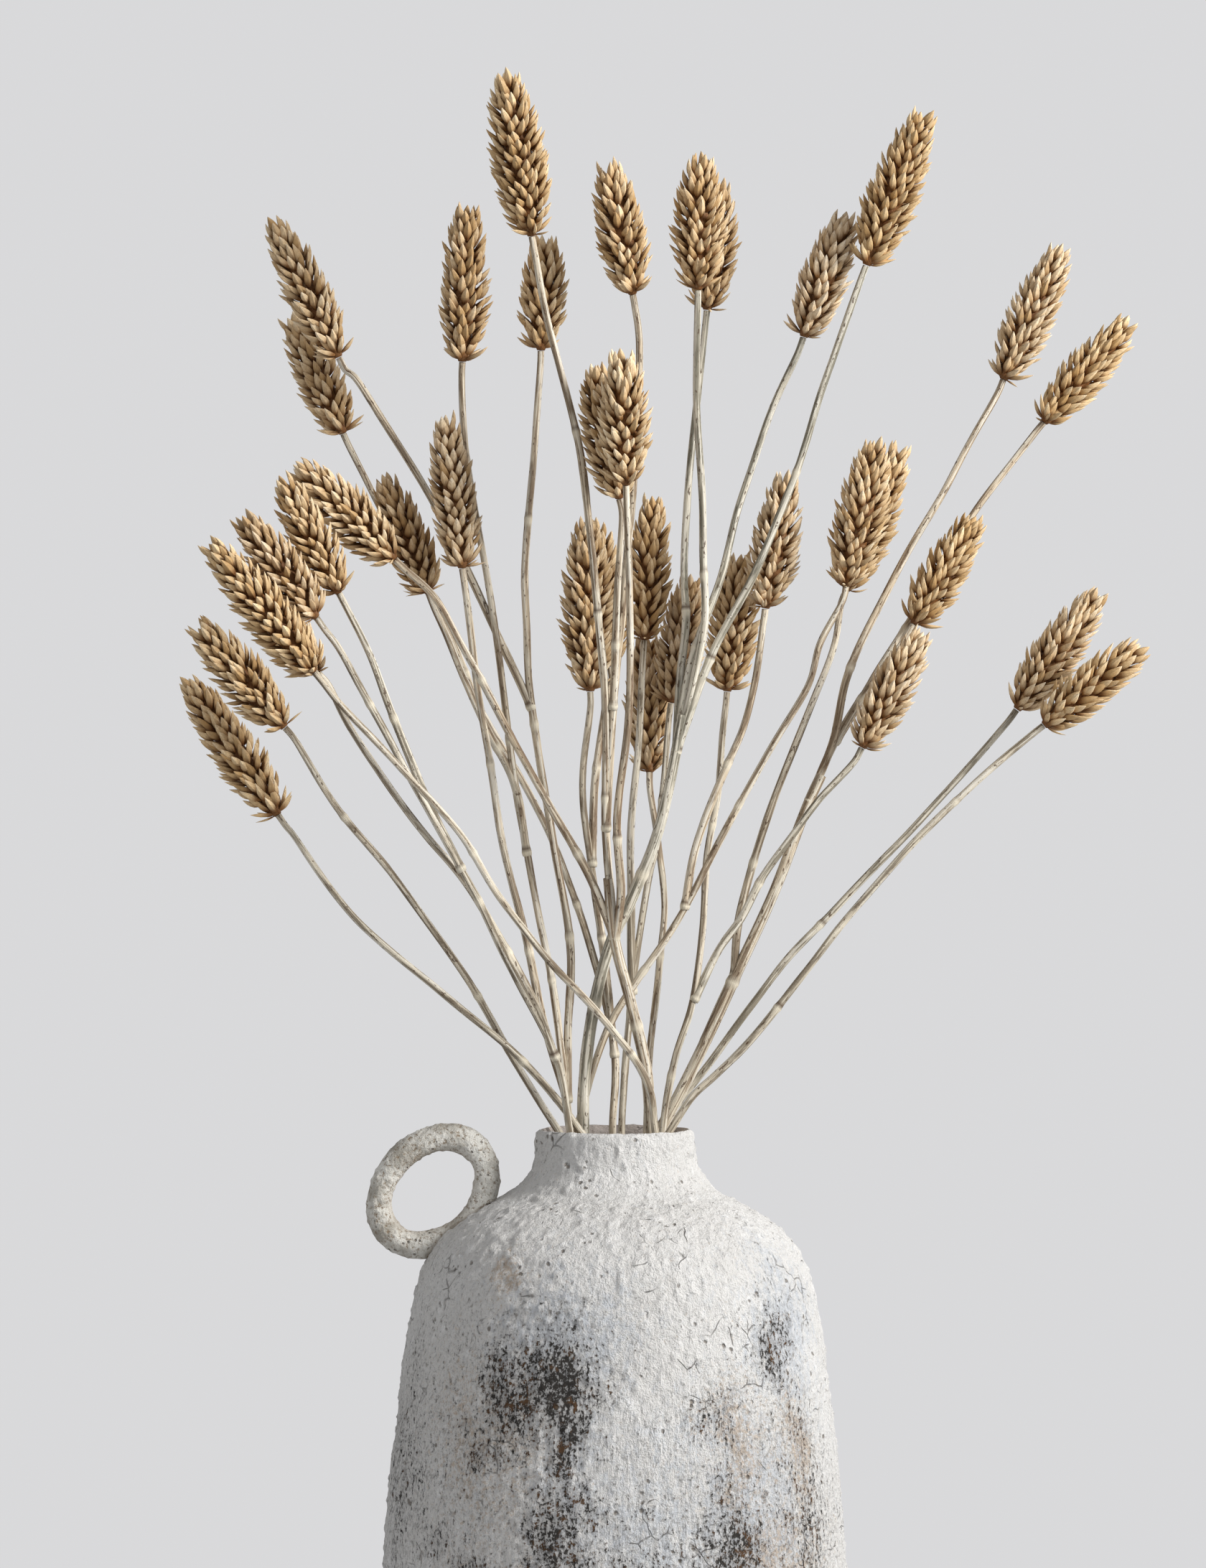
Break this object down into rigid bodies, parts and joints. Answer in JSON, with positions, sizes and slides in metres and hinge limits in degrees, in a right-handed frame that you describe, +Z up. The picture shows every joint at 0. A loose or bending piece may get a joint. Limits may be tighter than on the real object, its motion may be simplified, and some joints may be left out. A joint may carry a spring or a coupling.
{
  "type": "flower vase with dried grass sprays",
  "caption": "Rough white ceramic bottle vase with a ring handle on its shoulder, holding branching sprays of dried grass seed heads that draw out through its mouth.",
  "frame": {"origin": "centre of the vase's round base, on the surface it stands on", "axes": "+Z up along the vase, -Y to the front, -X to the side with the ring handle"},
  "size_m": [0.4311, 0.2215, 0.7533],
  "materials": {
    "plaster": "matt, gritty off-white plaster-like ceramic with dark and tan worn patches",
    "ring": "matt, grainy cream-grey ceramic with brownish hollows",
    "stalk": "dry pale straw stalk, ridged lengthwise, with grey-brown mottling",
    "seed_head": "dry tan papery glumes, overlapping in a tight spindle"
  },
  "bodies": {
    "vase": {"vase_body": "plaster", "ring_handle": "ring"},
    "spray_01": {"spray_01_head_1": "seed_head", "spray_01_stalk": "stalk"},
    "spray_02": {"spray_02_head_1": "seed_head", "spray_02_stalk": "stalk"},
    "spray_03": {"spray_03_head_1": "seed_head", "spray_03_stalk": "stalk"},
    "spray_04": {"spray_04_head_1": "seed_head", "spray_04_head_2": "seed_head", "spray_04_head_3": "seed_head", "spray_04_stalk": "stalk"},
    "spray_05": {"spray_05_head_1": "seed_head", "spray_05_head_2": "seed_head", "spray_05_head_3": "seed_head", "spray_05_head_4": "seed_head", "spray_05_head_5": "seed_head", "spray_05_stalk": "stalk"},
    "spray_06": {"spray_06_head_1": "seed_head", "spray_06_head_2": "seed_head", "spray_06_head_3": "seed_head", "spray_06_stalk": "stalk"},
    "spray_07": {"spray_07_head_1": "seed_head", "spray_07_head_2": "seed_head", "spray_07_head_3": "seed_head", "spray_07_head_4": "seed_head", "spray_07_head_5": "seed_head", "spray_07_stalk": "stalk"},
    "spray_08": {"spray_08_head_1": "seed_head", "spray_08_head_2": "seed_head", "spray_08_stalk": "stalk"},
    "spray_09": {"spray_09_head_1": "seed_head", "spray_09_stalk": "stalk"},
    "spray_10": {"spray_10_head_1": "seed_head", "spray_10_head_2": "seed_head", "spray_10_head_3": "seed_head", "spray_10_head_4": "seed_head", "spray_10_stalk": "stalk"},
    "spray_11": {"spray_11_head_1": "seed_head", "spray_11_head_2": "seed_head", "spray_11_stalk": "stalk"},
    "spray_12": {"spray_12_head_1": "seed_head", "spray_12_head_2": "seed_head", "spray_12_stalk": "stalk"},
    "spray_13": {"spray_13_head_1": "seed_head", "spray_13_head_2": "seed_head", "spray_13_head_3": "seed_head", "spray_13_head_4": "seed_head", "spray_13_stalk": "stalk"},
    "spray_14": {"spray_14_head_1": "seed_head", "spray_14_stalk": "stalk"},
    "spray_15": {"spray_15_head_1": "seed_head", "spray_15_stalk": "stalk"}
  },
  "joints": [
    {"name": "spray_01_draw_out", "type": "slide", "parent": "vase", "child": "spray_01", "axis": [-0.5081, -0.1026, 0.8552], "range_m": [0, 0.198]},
    {"name": "spray_02_draw_out", "type": "slide", "parent": "vase", "child": "spray_02", "axis": [-0.6189, 0.1316, 0.7744], "range_m": [0, 0.151]},
    {"name": "spray_03_draw_out", "type": "slide", "parent": "vase", "child": "spray_03", "axis": [-0.1849, -0.3329, 0.9247], "range_m": [0, 0.232]},
    {"name": "spray_04_draw_out", "type": "slide", "parent": "vase", "child": "spray_04", "axis": [-0.1896, -0.2559, 0.9479], "range_m": [0, 0.284]},
    {"name": "spray_05_draw_out", "type": "slide", "parent": "vase", "child": "spray_05", "axis": [0.014, -0.1289, 0.9916], "range_m": [0, 0.285]},
    {"name": "spray_06_draw_out", "type": "slide", "parent": "vase", "child": "spray_06", "axis": [-0.0317, 0.02, 0.9993], "range_m": [0, 0.284]},
    {"name": "spray_07_draw_out", "type": "slide", "parent": "vase", "child": "spray_07", "axis": [-0.1387, -0.1942, 0.9711], "range_m": [0, 0.288]},
    {"name": "spray_08_draw_out", "type": "slide", "parent": "vase", "child": "spray_08", "axis": [-0.0315, 0.0995, 0.9945], "range_m": [0, 0.285]},
    {"name": "spray_09_draw_out", "type": "slide", "parent": "vase", "child": "spray_09", "axis": [0.0481, 0.2146, 0.9755], "range_m": [0, 0.291]},
    {"name": "spray_10_draw_out", "type": "slide", "parent": "vase", "child": "spray_10", "axis": [0, -0.1093, 0.994], "range_m": [0, 0.285]},
    {"name": "spray_11_draw_out", "type": "slide", "parent": "vase", "child": "spray_11", "axis": [0.3288, -0.0566, 0.9427], "range_m": [0, 0.228]},
    {"name": "spray_12_draw_out", "type": "slide", "parent": "vase", "child": "spray_12", "axis": [0.0334, 0.03, 0.999], "range_m": [0, 0.284]},
    {"name": "spray_13_draw_out", "type": "slide", "parent": "vase", "child": "spray_13", "axis": [0.4609, 0.0443, 0.8863], "range_m": [0, 0.197]},
    {"name": "spray_14_draw_out", "type": "slide", "parent": "vase", "child": "spray_14", "axis": [0.5595, -0.0414, 0.8278], "range_m": [0, 0.175]},
    {"name": "spray_15_draw_out", "type": "slide", "parent": "vase", "child": "spray_15", "axis": [0.5754, 0, 0.8179], "range_m": [0, 0.177]}
  ]
}
